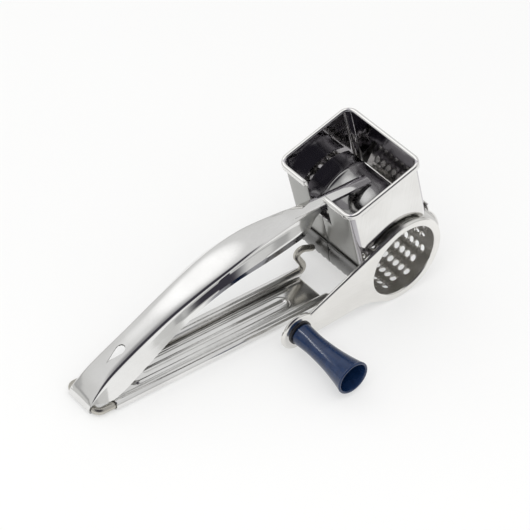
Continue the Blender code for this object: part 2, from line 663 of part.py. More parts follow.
def build_upper_handle():
    """One pressed sheet: curled on the hinge pin at the rear, a tongue at the front."""
    tongue_end = DRUM_X - PIN_X - TONGUE_REACH
    lip = 0.0004
    seat = presser_centre().z + TOOTH_RADIUS + PRESSER_CLEARANCE + SHEET - WIRE_Z
    tongue_height = seat + GAP + SHEET / 2 + lip
    rim_behind = (HALF_LENGTH + RIM_WIDTH) * math.cos(TILT) + HOPPER_RISE * math.sin(TILT)
    run = (DRUM_X - PIN_X - rim_behind) / DRAWN_RUN
    rise = tongue_height / DRAWN_RISE
    rows = [(x * run, z * rise, *widths) for x, z, *widths in HANDLE_STATIONS]
    root_x, root_height = rows[-1][:2]
    for share, depth in ((0.25, 0.0018), (0.62, 0.0012), (1.0, lip)):
        x = root_x + (tongue_end - root_x) * share
        z = root_height + (tongue_height - root_height) * share
        rows.append((x, z, TONGUE_HALF_WIDTH, 0.0002, depth))
    stations = smooth(rows, 3)

    half = stations[0][2]
    roll = WIRE_RADIUS + GAP + SHEET / 2
    curled = [roll_section(x, z, half)
              for x, z in arc(roll, math.radians(-50), math.radians(-190), 9)]
    sections = [handle_section(*station) for station in stations]
    handle = loft("upper_handle", curled + sections, lever_pivot, POLISHED)
    shell(handle, SHEET, 0.0)

    round_end = TEARDROP_WIDTH / 2
    centre = TEARDROP_PLACE + TEARDROP_LENGTH - round_end
    reach = math.acos(round_end / (centre - TEARDROP_PLACE))
    drop = arc(round_end, reach - math.pi, math.pi - reach, 14, (centre, 0)) + [(TEARDROP_PLACE, 0)]
    cutter = plate("teardrop", [drop], 0.005, 0.06, lever_pivot, None, cutters)
    combine(handle, cutter, "DIFFERENCE")


def roll_section(x, z, half):
    """A flat line across the curl, with as many points as the channel's section."""
    shares = (0.5, 0.886, 0.95, 0.98, 1.0)
    right = [(x, half * share, z) for share in shares]
    left = [(x, -y, z) for x, y, z in reversed(right)]
    return left + [(x, 0, z)] + right


def presser_centre():
    """Where the drum's centre lies once the lever is lifted from the drum to rest."""
    pin = Vector((PIN_X, 0, WIRE_Z))
    return pin + Matrix.Rotation(-PRESS_ANGLE, 3, "Y") @ (Vector(DRUM_CENTRE) - pin)


def build_presser():
    """The saddle under the tongue, which fits the drum when the handles are squeezed."""
    cradle = axis_frame("presser_frame", presser_centre(), LEAN_X, ASIDE, lever_pivot)
    radius = TOOTH_RADIUS + PRESSER_CLEARANCE
    crown = math.pi / 2
    profile = arc(radius, crown + PRESSER_REAR, crown - PRESSER_FRONT, 16)
    side = HALF_WIDTH - PRESSER_SIDE_GAP
    presser = strip("presser_plate", profile, -side, side, cradle, POLISHED)
    shell(presser, SHEET, -1.0 if leans_out(presser, (0, 0, 1)) else 1.0)


build_hopper()
build_guards()
bush_end = build_bearings()
build_handle_plate()
build_wire()
build_crank()
build_drum()
build_axle(bush_end)
build_knob()
build_upper_handle()
build_presser()
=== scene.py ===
"""Looks for a hand-held rotary grater: polished sheet steel, a punched drum, a bent
wire frame and a dark blue knob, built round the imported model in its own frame.

Shapes are worked out in millimetres and put in place in metres by place().
"""
import json
import math

import bmesh
import bpy
from mathutils import Matrix, Vector


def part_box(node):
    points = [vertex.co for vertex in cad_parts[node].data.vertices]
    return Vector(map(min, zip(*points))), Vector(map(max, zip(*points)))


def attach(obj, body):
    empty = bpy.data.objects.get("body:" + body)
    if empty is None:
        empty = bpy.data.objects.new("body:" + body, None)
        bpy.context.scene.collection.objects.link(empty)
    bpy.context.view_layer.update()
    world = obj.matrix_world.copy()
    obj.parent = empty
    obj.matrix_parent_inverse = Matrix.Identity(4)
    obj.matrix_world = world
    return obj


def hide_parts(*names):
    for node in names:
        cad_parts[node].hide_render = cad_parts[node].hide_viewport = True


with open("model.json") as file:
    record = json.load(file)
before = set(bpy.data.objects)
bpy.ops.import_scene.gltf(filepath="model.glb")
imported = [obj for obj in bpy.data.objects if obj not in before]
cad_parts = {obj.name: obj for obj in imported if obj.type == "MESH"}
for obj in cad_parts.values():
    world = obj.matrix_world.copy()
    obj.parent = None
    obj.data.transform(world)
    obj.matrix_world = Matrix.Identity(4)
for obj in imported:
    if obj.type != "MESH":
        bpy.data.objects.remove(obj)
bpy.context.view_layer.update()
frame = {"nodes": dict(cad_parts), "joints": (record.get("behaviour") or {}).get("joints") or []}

# ------------------------------------------------------------------ camera
CAMERA_PLACE = Vector((-0.59894, -0.62401, 0.79951))
CAMERA_TARGET = Vector((0.02457, -0.00823, 0.04522))
CAMERA_ROLL = math.radians(7.56)
CAMERA_LENS = 157.21        # focal length and sensor width, in millimetres
CAMERA_SENSOR = 36.0


def aim_camera():
    """A long lens from above the handles' near side, rolled a little."""
    lens = bpy.data.cameras.new("camera")
    lens.sensor_width = CAMERA_SENSOR
    lens.lens = CAMERA_LENS
    lens.clip_start = 0.01
    camera = bpy.data.objects.new("camera", lens)
    bpy.context.scene.collection.objects.link(camera)
    turn = (CAMERA_TARGET - CAMERA_PLACE).to_track_quat("-Z", "Y").to_matrix().to_4x4()
    camera.matrix_world = Matrix.Translation(CAMERA_PLACE) @ turn @ Matrix.Rotation(CAMERA_ROLL, 4, "Z")
    bpy.context.scene.camera = camera


aim_camera()

# ------------------------------------------------------------------ places
MM = 0.001                          # sizes are in millimetres unless they are times this
SHEET = 0.7
GAP = 0.3                           # between pieces that touch or run on each other
TILT = math.radians(20.3)           # the hopper's lean
ARM_DROOP = math.radians(10.4)      # the crank arm's slope at rest


def joint_place(name):
    """Where a joint's axis passes, in the row frame."""
    joint = next(j for j in frame["joints"] if j["name"] == name)
    return Vector(joint["pos_m"])


def frame_of(origin, forward, up):
    """A piece's own frame: X forward, Y to the far side, Z up."""
    forward, up = Vector(forward), Vector(up)
    turn = Matrix((forward, up.cross(forward), up)).transposed()
    return Matrix.Translation(origin) @ turn.to_4x4()


def size_of(node):
    """A CAD node's size along each axis, in millimetres."""
    low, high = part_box(node)
    return (high - low) / MM


DRUM_AXIS = joint_place("drum_spin")
KNOB_AXIS = joint_place("knob_spin")
PIN_AXIS = joint_place("lever_squeeze")
drum_centre = Vector((DRUM_AXIS.x, 0, DRUM_AXIS.z))
handle_place = Matrix.Identity(4)
LEAN = (math.cos(TILT), 0.0, math.sin(TILT))        # the hopper's own forward
UPWARD = (-math.sin(TILT), 0.0, math.cos(TILT))     # and its own up
hopper_place = frame_of(drum_centre, LEAN, UPWARD)
# Turning pieces: Z runs along the axis to the far side, X along the crank's arm.
ALONG_ARM = (-math.cos(ARM_DROOP), 0, -math.sin(ARM_DROOP))
crank_place = frame_of(drum_centre, ALONG_ARM, (0, 1, 0))
knob_place = frame_of((KNOB_AXIS.x, 0, KNOB_AXIS.z), ALONG_ARM, (0, 1, 0))
lever_place = frame_of((PIN_AXIS.x, 0, PIN_AXIS.z), (1, 0, 0), (0, 0, 1))

# The hopper, in its own frame, with heights from the drum's axis.
INNER_LENGTH = 45.6
INNER_WIDTH = 52.4
CORNER = 4.0                # inside radius of the upright corners
RIM_TOP = 58.2
RIM_OUT = 2.4               # rolled rim, from the wall's inner face outwards
RIM_ROUND = 0.45            # radius of the rim's two upper edges
WALL_TOP = 56.2             # where the plain wall turns into the rim
NOTCH_HALF = 7.2
NOTCH_FLOOR = 34.0
FRONT_FOOT = 16.4           # lower edges of the front and rear walls
REAR_FOOT = 8.7
LEVEL = 36.0                # every wall is whole above this
DRUM_CLEAR = 23.9           # the side walls' lower edge stays this far from the axis
SEAM = 0.27                 # half the width of the seam in the rear wall
HALF_LENGTH = INNER_LENGTH / 2
HALF_WIDTH = INNER_WIDTH / 2
RIM_FOOT = drum_centre.dot(UPWARD) + 54.4 * MM      # the rim's lower edge
REAR_WALL = drum_centre.dot(LEAN) - 22.9 * MM       # just behind the rear wall's inner face


# ---------------------------------------------------------------- materials
class Field:
    """A node's output. Arithmetic on it adds Math nodes, and node() adds any other."""

    def __init__(self, socket):
        self.socket = socket

    def node(self, kind, settings=None, inputs=None, output=0):
        """Add a node: its settings first, then the values or links of its sockets."""
        made = self.socket.id_data.nodes.new("ShaderNode" + kind)
        for name, value in (settings or {}).items():
            setattr(made, name, value)
        for name, value in (inputs or {}).items():
            plug(made.inputs[name], value)
        return Field(made.outputs[output])

    def math(self, operation, *values):
        return self.node("Math", {"operation": operation}, dict(enumerate(values)))

    def __add__(self, other):
        return self.math("ADD", self, other)

    __radd__ = __add__

    def __sub__(self, other):
        return self.math("SUBTRACT", self, other)

    def __rsub__(self, other):
        return self.math("SUBTRACT", other, self)

    def __mul__(self, other):
        return self.math("MULTIPLY", self, other)

    __rmul__ = __mul__

    def __abs__(self):
        return self.math("ABSOLUTE", self)

    def between(self, low, high):
        """0 below low and 1 above high, with a smooth step between them."""
        return self.node("MapRange", {"interpolation_type": "SMOOTHSTEP"},
                         {"Value": self, "From Min": low, "From Max": high})

    def mixed(self, first, second):
        """The first colour where this is 0, the second where it is 1."""
        return self.node("Mix", {"data_type": "RGBA"}, {0: self, 6: first, 7: second}, 2)

    def noise(self, scale, detail=2.0):
        """Cloudy values about 0.5 from this vector."""
        return self.node("TexNoise", {}, {"Vector": self, "Scale": scale, "Detail": detail})

    def stretched(self, scales):
        """This vector with each axis scaled by its own number."""
        return self.node("VectorMath", {"operation": "MULTIPLY"}, {0: self, 1: scales})

    def along(self, direction):
        """How far this vector reaches along a direction."""
        return self.node("VectorMath", {"operation": "DOT_PRODUCT"}, {0: self, 1: direction}, "Value")


def plug(socket, value):
    if isinstance(value, Field):
        socket.id_data.links.new(value.socket, socket)
    else:
        socket.default_value = value


def start_finish(name):
    """A new material, its shader and the place on its object as a vector."""
    material = bpy.data.materials.new(name)
    material.use_nodes = True
    tree = material.node_tree
    spot = Field(tree.nodes.new("ShaderNodeTexCoord").outputs["Object"])
    return material, tree.nodes["Principled BSDF"], spot


def edge_wear(spot, low, high):
    """0 on plain faces and 1 on convex edges, broken up a little."""
    geometry = spot.node("NewGeometry", output=7)
    return (geometry + 0.06 * (spot.noise(900) - 0.5)).between(low, high)


# Grain: how quickly the brushed lines change along each axis, per metre.
ALONG_X = (60.0, 2600.0, 2600.0)
ROUND_Y = (2600.0, 60.0, 2600.0)
UPRIGHT = (1800.0, 1800.0, 70.0)

PAINTED_SHADE_GREY = (0.36, 0.36, 0.345, 1.0)       # painted shade on the rear wall's outside, standing in for the shadowed floor it mirrors
SHADED_STEEL = (0.50, 0.485, 0.51, 1.0)     # painted shade inside the hopper
LIP_PAINTED_DARK = (0.20, 0.20, 0.22, 1.0)         # painted dark reflection on the upper handle's upright lip
WORN_STEEL = (0.90, 0.90, 0.88, 1.0)        # rubbed edges
LINE_DEPTH = 0.000006                       # of the brushed lines' bump, in metres


def painted_wall_shade(spot, tone):
    """The hopper's walls: painted shade outside the rear wall up to the rim, which is also rougher
    there, and a darker painted shade inside. Gives the colour, and how matt and shaded each place is."""
    along = spot.along(LEAN)
    # matt_and_shaded marks the rear wall's outside below the rim: rougher there, and in painted shade
    matt_and_shaded = (1 - along.between(REAR_WALL - 0.4 * MM, REAR_WALL)) * (
        1 - spot.along(UPWARD).between(RIM_FOOT - 0.6 * MM, RIM_FOOT))
    across = spot.node("SeparateXYZ", {}, {0: spot}, 1)
    out_x = abs(along - drum_centre.dot(LEAN)) - HALF_LENGTH * MM
    out_y = abs(across) - HALF_WIDTH * MM
    # inside marks the faces within the walls, which get a darker painted shade
    inside = 1 - out_x.math("MAXIMUM", out_x, out_y).between(0.1 * MM, 0.3 * MM)
    return inside.mixed(matt_and_shaded.mixed(tone, PAINTED_SHADE_GREY), SHADED_STEEL), matt_and_shaded


def steel_finish(name, bright, dull, rough, grain, grain_rough, wave, walls=False, lip=False):
    """Steel: colour from bright to dull in clouds, drawn or brushed lines along a
    grain, smudges that haze the polish, and a bump of lines and soft waves. The hopper's
    walls get painted shade, and the upper handle's lip a painted dark reflection."""
    material, shader, spot = start_finish(name)
    lines = spot.stretched(grain).noise(1.0, 3.0)
    cloud = spot.noise(45.0, 3.0)
    smudge = spot.noise(110.0, 4.0).between(0.56, 0.74)
    speck = spot.noise(2600.0, 1.0).between(0.70, 0.80)
    wear = edge_wear(spot, 0.54, 0.66)
    tone = (cloud + 0.35 * (lines - 0.5)).between(0.25, 0.75).mixed(bright, dull)
    # the hopper's walls take their painted shade here
    if walls:
        tone, matt_and_shaded = painted_wall_shade(spot, tone)
        rough = rough + 0.24 * matt_and_shaded
        wear = wear * (1 - 0.7 * matt_and_shaded)
    # painted dark reflection on the lip, where the shading normal faces across the handle
    if lip:
        aside = spot.node("SeparateXYZ", {}, {0: spot.node("TexCoord", output=1)}, 1)
        tone = (0.9 * abs(aside).between(0.95, 0.985)).mixed(tone, LIP_PAINTED_DARK)
    worn = wear.mixed(tone, WORN_STEEL)
    plug(shader.inputs["Base Color"], worn)
    plug(shader.inputs["Roughness"],
         rough + grain_rough * lines + 0.05 * smudge + 0.10 * speck + 0.06 * wear)
    shader.inputs["Metallic"].default_value = 1.0
    height = spot.noise(70.0, 1.0) * wave + lines * LINE_DEPTH
    plug(shader.inputs["Normal"],
         spot.node("Bump", {}, {"Strength": 0.5, "Distance": 1.0, "Height": height}))
    return material


def plastic_finish(name, body, pale, worn, rough, coat):
    """Moulded plastic: a little mottled, with handling haze, fine pitting and pale edges."""
    material, shader, spot = start_finish(name)
    mottle = spot.noise(300.0, 3.0)
    haze = spot.noise(90.0, 4.0).between(0.45, 0.75)
    streak = spot.stretched((900.0, 30.0, 900.0)).noise(1.0, 2.0)
    wear = edge_wear(spot, 0.55, 0.68)
    tone = (mottle * 0.6 + streak * 0.4).between(0.3, 0.7).mixed(body, pale)
    plug(shader.inputs["Base Color"], (wear * 0.6).mixed(tone, worn))
    plug(shader.inputs["Roughness"], rough + 0.14 * haze + 0.06 * streak)
    shader.inputs["Coat Weight"].default_value = coat
    shader.inputs["Coat Roughness"].default_value = 0.08
    height = spot.noise(2400.0, 2.0) * 0.000015 + streak * 0.00001
    plug(shader.inputs["Normal"],
         spot.node("Bump", {}, {"Strength": 0.6, "Distance": 1.0, "Height": height}))
    return material


def grey(value, warmth=0.0):
    return (value, value * (1 - 0.3 * warmth), value * (1 - warmth), 1.0)


polished_sheet = steel_finish("polished_sheet", grey(0.84, 0.025), grey(0.76, 0.035), 0.055, UPRIGHT,
                              0.05, 0.00005)
# walls=True adds the painted shade on the hopper's walls
polished_walls = steel_finish("polished_walls", grey(0.84, 0.025), grey(0.76, 0.035), 0.055, UPRIGHT,
                              0.05, 0.00005, walls=True)
# lip=True paints a dark reflection on the upright lip
polished_handle = steel_finish("polished_handle", grey(0.84, 0.015), grey(0.76, 0.02), 0.06, ALONG_X,
                               0.06, 0.00004, lip=True)
polished_arm = steel_finish("polished_arm", grey(0.86, 0.04), grey(0.79, 0.05), 0.10, ALONG_X,
                            0.08, 0.00004)
# painted shade: the rear guard's dark grey stands in for the shadowed floor it mirrors; its roughness is
# the satin finish
shaded_satin_cover = steel_finish("shaded_satin_cover", grey(0.19, 0.02), grey(0.15, 0.03), 0.24, UPRIGHT,
                           0.10, 0.00003)
plate_sheet = steel_finish("plate_sheet", grey(0.86, 0.015), grey(0.74, 0.02), 0.09, ALONG_X,
                           0.12, 0.00003)
saddle_sheet = steel_finish("saddle_sheet", grey(0.50, 0.01), grey(0.38, 0.02), 0.09, ALONG_X,
                            0.08, 0.00005)
drum_sheet = steel_finish("drum_sheet", grey(0.80, 0.05), grey(0.66, 0.08), 0.17, ROUND_Y,
                          0.10, 0.00006)
bent_wire = steel_finish("bent_wire", grey(0.60, 0.10), grey(0.46, 0.14), 0.20, ALONG_X,
                         0.16, 0.00003)
turned_steel = steel_finish("turned_steel", grey(0.70, 0.03), grey(0.58, 0.05), 0.18, ROUND_Y,
                            0.14, 0.00003)
knob_plastic = plastic_finish("knob_plastic", (0.003, 0.014, 0.050, 1), (0.006, 0.023, 0.074, 1),
                              (0.16, 0.24, 0.42, 1), 0.16, 0.12)
dark_washer = plastic_finish("dark_washer", (0.010, 0.011, 0.016, 1), (0.018, 0.019, 0.024, 1),
                             (0.03, 0.03, 0.035, 1), 0.3, 0.0)
bush_plastic = plastic_finish("bush_plastic", (0.70, 0.69, 0.64, 1), (0.78, 0.77, 0.72, 1),
                              (0.86, 0.85, 0.80, 1), 0.42, 0.0)


# -------------------------------------------------------------- mesh helpers
DRAWN_APART = 0.0005            # closer points than this are one, in a drawn sheet
MADE_APART = 0.004 * MM         # and in a finished piece, in metres


def grid(bm, rows, skip=None):
    """Join rows of points into an open sheet, leaving out the cells that skip names."""
    made = [[bm.verts.new(point) for point in row] for row in rows]
    for r, (row, following) in enumerate(zip(made, made[1:])):
        for c in range(len(row) - 1):
            if skip is None or not skip(r, c):
                bm.faces.new((row[c], row[c + 1], following[c + 1], following[c]))
    return made


def sheet_of(rows):
    bm = bmesh.new()
    grid(bm, rows)
    return bm


def place(name, bm, where, body, finish, stands_for, thickness=0.0, edge=0.0, cutter=None,
          crease=38.0):
    """Make a piece from a mesh drawn in millimetres: thicken the sheet about its middle,
    cut it, soften its cut edges, and put it in its frame, riding on its body."""
    bmesh.ops.remove_doubles(bm, verts=bm.verts, dist=DRAWN_APART)
    loose = [v for v in bm.verts if not v.link_faces]
    bmesh.ops.delete(bm, geom=loose, context="VERTS")
    bmesh.ops.recalc_face_normals(bm, faces=bm.faces)
    bmesh.ops.transform(bm, matrix=where @ Matrix.Scale(MM, 4), verts=bm.verts)
    mesh = bpy.data.meshes.new(name)
    bm.to_mesh(mesh)
    bm.free()
    item = bpy.data.objects.new(name, mesh)
    bpy.context.scene.collection.objects.link(item)
    if thickness:
        layer = item.modifiers.new("Sheet", "SOLIDIFY")
        layer.thickness = thickness * MM
        layer.offset = 0.0
        layer.use_even_offset = True
    if cutter is not None:
        cut = item.modifiers.new("Cut", "BOOLEAN")
        cut.object = cutter
        cut.solver = "EXACT"
    if edge:
        softer = item.modifiers.new("Edges", "BEVEL")
        softer.width = edge * MM
        softer.segments = 2
        softer.limit_method = "ANGLE"
        softer.angle_limit = math.radians(60)
    settle(item, crease)
    if cutter is not None:
        bpy.data.objects.remove(cutter)
    item.data.materials.clear()
    item.data.materials.append(finish)
    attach(item, body)
    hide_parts(*stands_for)
    return item


def settle(item, crease):
    """Apply an object's modifiers and shade it smooth between its creases."""
    bpy.context.view_layer.update()
    graph = bpy.context.evaluated_depsgraph_get()
    mesh = bpy.data.meshes.new_from_object(item.evaluated_get(graph))
    item.modifiers.clear()
    item.data = mesh
    bm = bmesh.new()
    bm.from_mesh(mesh)
    bmesh.ops.remove_doubles(bm, verts=bm.verts, dist=MADE_APART)
    bmesh.ops.dissolve_degenerate(bm, edges=bm.edges, dist=MADE_APART)
    bmesh.ops.delete(bm, geom=[v for v in bm.verts if not v.link_faces], context="VERTS")
    bm.to_mesh(mesh)
    bm.free()
    mesh.shade_smooth()
    mesh.set_sharp_from_angle(angle=math.radians(crease))


def arc(radius, start, end, steps, centre=(0.0, 0.0)):
    """Points on an arc, from start to end in radians."""
    angles = [start + (end - start) * i / steps for i in range(steps + 1)]
    return [(centre[0] + radius * math.cos(a), centre[1] + radius * math.sin(a)) for a in angles]


def smooth(rows, steps):
    """Catmull-Rom curve through rows of numbers."""
    padded = [rows[0], *rows, rows[-1]]
    result = []
    for before, start, end, after in zip(padded, padded[1:], padded[2:], padded[3:]):
        for i in range(steps):
            t = i / steps
            result.append(tuple(
                0.5 * (2 * b + (c - a) * t + (2 * a - 5 * b + 4 * c - d) * t * t
                       + (3 * b - a - 3 * c + d) * t ** 3)
                for a, b, c, d in zip(before, start, end, after)))
    result.append(tuple(rows[-1]))
    return result


def ease(t):
    """0 to 1 with a smooth start and end."""
    t = min(1.0, max(0.0, t))
    return t * t * (3 - 2 * t)


def turned(profile, steps=72):
    """A closed (radius, height) profile spun about Z."""
    bm = bmesh.new()
    loop = [*profile, profile[0]]
    rows = []
    for i in range(steps + 1):
        turn = 2 * math.pi * i / steps
        rows.append([(r * math.cos(turn), r * math.sin(turn), z) for r, z in loop])
    grid(bm, rows)
    return bm


# -------------------------------------------------------------------- hopper
def wall_outline(offset):
    """The hopper's round-cornered plan, grown by the offset, from the rear seam round
    the far side and back to it."""
    half_x, half_y = HALF_LENGTH - CORNER, HALF_WIDTH - CORNER
    radius = CORNER + offset
    rear = -(HALF_LENGTH + offset)
    points = [(rear, y) for y in (SEAM, NOTCH_HALF * 0.5, NOTCH_HALF, 11.0, 15.0, 19.0)]
    points += arc(radius, math.pi, math.pi / 2, 8, (-half_x, half_y))
    points += [(x, HALF_WIDTH + offset) for x in (-14, -10, -5, 0, 5, 10, 14)]
    points += arc(radius, math.pi / 2, 0, 8, (half_x, half_y))
    points += [(HALF_LENGTH + offset, y) for y in (16, 8, 0, -8, -16)]
    points += arc(radius, 0, -math.pi / 2, 8, (half_x, -half_y))
    points += [(x, -HALF_WIDTH - offset) for x in (16, 12, 8, 4, 0, -4, -8, -11, -13.5, -16, -17.7)]
    points += arc(radius, -math.pi / 2, -math.pi, 8, (-half_x, -half_y))
    points += [(rear, -y) for y in (19.0, 15.0, 11.0, NOTCH_HALF, NOTCH_HALF * 0.5, SEAM)]
    return points


NEAR_ROUND = 11.0           # round lower rear corner of the near wall
NEAR_ROUND_X = -10.9
NEAR_ROUND_Z = 34.6


def wall_foot(x, y):
    """Height of the walls' lower edge at a point of the plan."""
    if x < -HALF_LENGTH + 1.2:
        return REAR_FOOT
    if abs(y) < HALF_WIDTH - 1.6:
        return FRONT_FOOT
    if y < 0 and x < NEAR_ROUND_X:
        across = min(1.0, (NEAR_ROUND_X - x) / NEAR_ROUND)
        return NEAR_ROUND_Z - NEAR_ROUND * math.sqrt(1 - across ** 2)
    crown = math.sqrt(max(0.0, DRUM_CLEAR ** 2 - x ** 2))
    return max(crown, FRONT_FOOT if x > 0 else REAR_FOOT)


def build_hopper():
    """Four walls in one sheet, open at a seam behind, with a notch for the tongue
    and a rim rolled outwards."""
    bm = bmesh.new()
    plan = wall_outline(SHEET / 2)
    for here, there in zip(plan, plan[1:]):
        middle = ((here[0] + there[0]) / 2, (here[1] + there[1]) / 2)
        feet = [wall_foot(*point) for point in (here, there)]
        rows = []
        for share in (0, 0.04, 0.25, 0.5, 0.75, (NOTCH_FLOOR - REAR_FOOT) / (LEVEL - REAR_FOOT), 1):
            rows.append([(*point, foot + (LEVEL - foot) * share)
                         for point, foot in zip((here, there), feet)])
        in_notch = middle[0] < -HALF_LENGTH and abs(middle[1]) < NOTCH_HALF
        grid(bm, rows[:-1] if in_notch else rows)
        if in_notch:
            continue
        grid(bm, [[(*point, z) for point in (here, there)] for z in (LEVEL, 40, 45, 50, 54, WALL_TOP)])
    inner, outer, top = SHEET / 2, RIM_OUT - SHEET / 2, RIM_TOP - SHEET / 2
    rim = [(inner, WALL_TOP), (inner, top - 0.85)]
    rim += arc(RIM_ROUND, math.pi, math.pi / 2, 4, (inner + RIM_ROUND, top - 0.5))
    rim.append((RIM_OUT / 2, top))
    rim += arc(RIM_ROUND, math.pi / 2, 0, 4, (outer - RIM_ROUND, top - 0.5))
    rim += [(outer, RIM_TOP - 2.6), (outer - 0.25, RIM_TOP - 3.0)]
    rows = [[(x, y, z) for x, y in wall_outline(offset)] for offset, z in rim]
    edge = plan.index(next(p for p in plan if p[1] == NOTCH_HALF and p[0] < 0))
    grid(bm, [row[edge:len(row) - edge] for row in rows])
    place("hopper_walls", bm, hopper_place, "frame", polished_walls, ["hopper"],
          SHEET, 0.12)


LAP = HALF_LENGTH + SHEET + GAP     # inner face of a guard where it laps over its wall
FRONT_GUARD = 28.8                  # outside radii of the guards
REAR_GUARD = 25.6
FRONT_END = -30.0                   # degrees round the drum where each guard ends
REAR_END = 186.5
NOTCHES = 6                 # small teeth along each half of the rear guard's lower edge
NOTCH_DEPTH = 3.4           # degrees of the guard's curve
NOTCH_STEPS = ((0.0, 0.0), (0.12, 1.0), (0.55, 1.0), (0.67, 0.0))   # share along one tooth, and depth
SEAM_FOLD = 1.1             # how far the seam opens at the V where the curve begins
SEAM_FOLD_REACH = 1.6


def build_guards():
    """Curved covers ahead of and behind the drum. The rear one is two halves that
    meet at the seam, with a folded V where the wall turns into the curve."""
    side = HALF_WIDTH - 0.4
    middle = FRONT_GUARD - SHEET / 2
    start = math.acos((LAP + SHEET / 2) / middle)
    profile = [(LAP + SHEET / 2 + 0.5, FRONT_FOOT + 4.0), (LAP + SHEET / 2, FRONT_FOOT + 3.3),
               (LAP + SHEET / 2, FRONT_FOOT + 1.0)]
    profile += arc(middle, start, math.radians(FRONT_END), 24)
    rows = [[(x, y, z) for x, z in profile]
            for y in (-side, -side + 0.8, -18, -9, 0, 9, 18, side - 0.8, side)]
    place("front_cover", sheet_of(rows), hopper_place, "frame", polished_sheet,
          ["front_guard"], SHEET, 0.12)

    middle = REAR_GUARD - SHEET / 2
    start = math.acos((LAP + SHEET / 2) / middle)
    profile = [(-LAP - SHEET / 2, REAR_FOOT + 4.0), (-LAP - SHEET / 2, REAR_FOOT + 1.6)]
    profile += arc(middle, math.pi - start, math.radians(REAR_END), 14)
    fold = profile[2][1]
    bm = bmesh.new()
    for hand in (1, -1):
        rows = []
        for i in range(NOTCHES * 4 + 1):
            step, depth = NOTCH_STEPS[i % 4]
            share = (i // 4 + step) / NOTCHES
            low = math.radians(REAR_END + NOTCH_DEPTH * depth)
            tip = (middle * math.cos(low + 0.01), middle * math.sin(low + 0.01))
            row = []
            for x, z in [*profile, tip]:
                seam = SEAM + SEAM_FOLD * max(0.0, 1 - abs(z - fold) / SEAM_FOLD_REACH)
                row.append((x, hand * (seam + (side - seam) * share), z))
            rows.append(row)
        grid(bm, rows)
    place("rear_cover", bm, hopper_place, "frame", shaded_satin_cover,
          ["rear_guard"], SHEET, 0.12)


# -------------------------------------------------------------- lower handle
WIRE_RADIUS = 1.9
PLATE = size_of("handle_plate").x
PLATE_END = PLATE / 2
WIRE_Z = PIN_AXIS.z / MM
CURL = WIRE_RADIUS + GAP + SHEET / 2        # radius of sheet rolled round the wire
LEGS_APART = 22.8           # between the wire's legs at the plate's rear end
LEG_SPLAY = 1.0             # and how much more at its front end
RIB_HALF = 4.8
RIB_LENGTH = 106.0
RIB_HEIGHT = 1.0
GROOVE_HALF = 1.3
GROOVE_DEPTH = 0.55
BEAD_HEIGHT = 0.35          # the two narrow beads beside the rib
BEAD_ASIDE = 6.9
BEAD_HALF = 0.8
PLATE_STEPS = 200           # rows of points along the plate


def leg_span(x):
    """Half the distance between the wire's legs along the lower handle."""
    return (LEGS_APART + LEG_SPLAY * (x + PLATE_END) / PLATE) / 2


def stadium(x, y, half_length, half_width):
    """How far inside a long round-ended outline a point is."""
    over = max(0.0, abs(x) - (half_length - half_width))
    return half_width - math.hypot(over, y)


def pressed_height(x, y):
    """Height of the pressed rib, its groove and the two side beads over the flat floor."""
    rib = RIB_HEIGHT * ease(stadium(x, y, RIB_LENGTH / 2, RIB_HALF) / 1.5 + 0.35)
    groove = GROOVE_DEPTH * ease(stadium(x - 4, y, RIB_LENGTH / 2 - 6, GROOVE_HALF) / 1.1 + 0.3)
    inside = stadium(x, abs(y) - BEAD_ASIDE, RIB_LENGTH / 2 + 6, BEAD_HALF)
    return rib - groove + BEAD_HEIGHT * ease(inside / BEAD_HALF + 0.2)


def build_lower_handle():
    """One sheet: a floor with pressed beads, its long edges rolled round the wire."""
    ys = [0, 0.45, 0.9, 1.3, 1.7, 2.2, 2.8, 3.4, 3.8, 4.2, 4.6, 5.0, 5.4, 5.9, 6.3, 6.6, 6.9, 7.2, 7.5,
          8.0, 8.8, 9.6]
    curl = arc(CURL, math.radians(-90), math.radians(212), 22)
    rows = []
    for i in range(PLATE_STEPS + 1):
        x = -PLATE_END + PLATE * i / PLATE_STEPS
        half = [(y, SHEET / 2 + pressed_height(x, y)) for y in ys]
        half += [(leg_span(x) + y, WIRE_Z + z) for y, z in curl]
        rows.append([(x, -y, z) for y, z in reversed(half[1:])] + [(x, y, z) for y, z in half])
    place("lower_handle_sheet", sheet_of(rows), handle_place, "frame", plate_sheet,
          ["handle_plate"], SHEET, 0.12)


def rounded_path(points, radii, steps):
    """A route of straight runs whose inner corners are rounded to the given radii."""
    route = [Vector(points[0])]
    for before, corner, after, radius in zip(points, points[1:], points[2:], radii):
        corner = Vector(corner)
        back = (Vector(before) - corner).normalized()
        ahead = (Vector(after) - corner).normalized()
        half = back.angle(ahead) / 2
        centre = corner + (back + ahead).normalized() * radius / math.sin(half)
        start = corner + back * radius / math.tan(half) - centre
        end = corner + ahead * radius / math.tan(half) - centre
        sweep = start.angle(end)
        for i in range(steps + 1):
            t = i / steps
            share = (math.sin((1 - t) * sweep), math.sin(t * sweep))
            route.append(centre + (start * share[0] + end * share[1]) / math.sin(sweep))
    route.append(Vector(points[-1]))
    return route


def guard_rear(rise):
    """Where the wire's centre line stands when the wire just misses the rear guard."""
    reach = REAR_GUARD + GAP + WIRE_RADIUS
    return DRUM_AXIS.x / MM - math.sqrt(reach ** 2 - (DRUM_AXIS.z / MM - rise) ** 2) - GAP


# Closed ends of a wire: how far along it, and how wide, as shares of its radius.
START_CAP = ((0.33, 0.0), (0.24, 0.45), (0.072, 0.85), (0.5, 1.0))
END_CAP = ((0.0, 1.0), (-0.15, 0.85), (-0.06, 0.45), (0.0, 0.0))


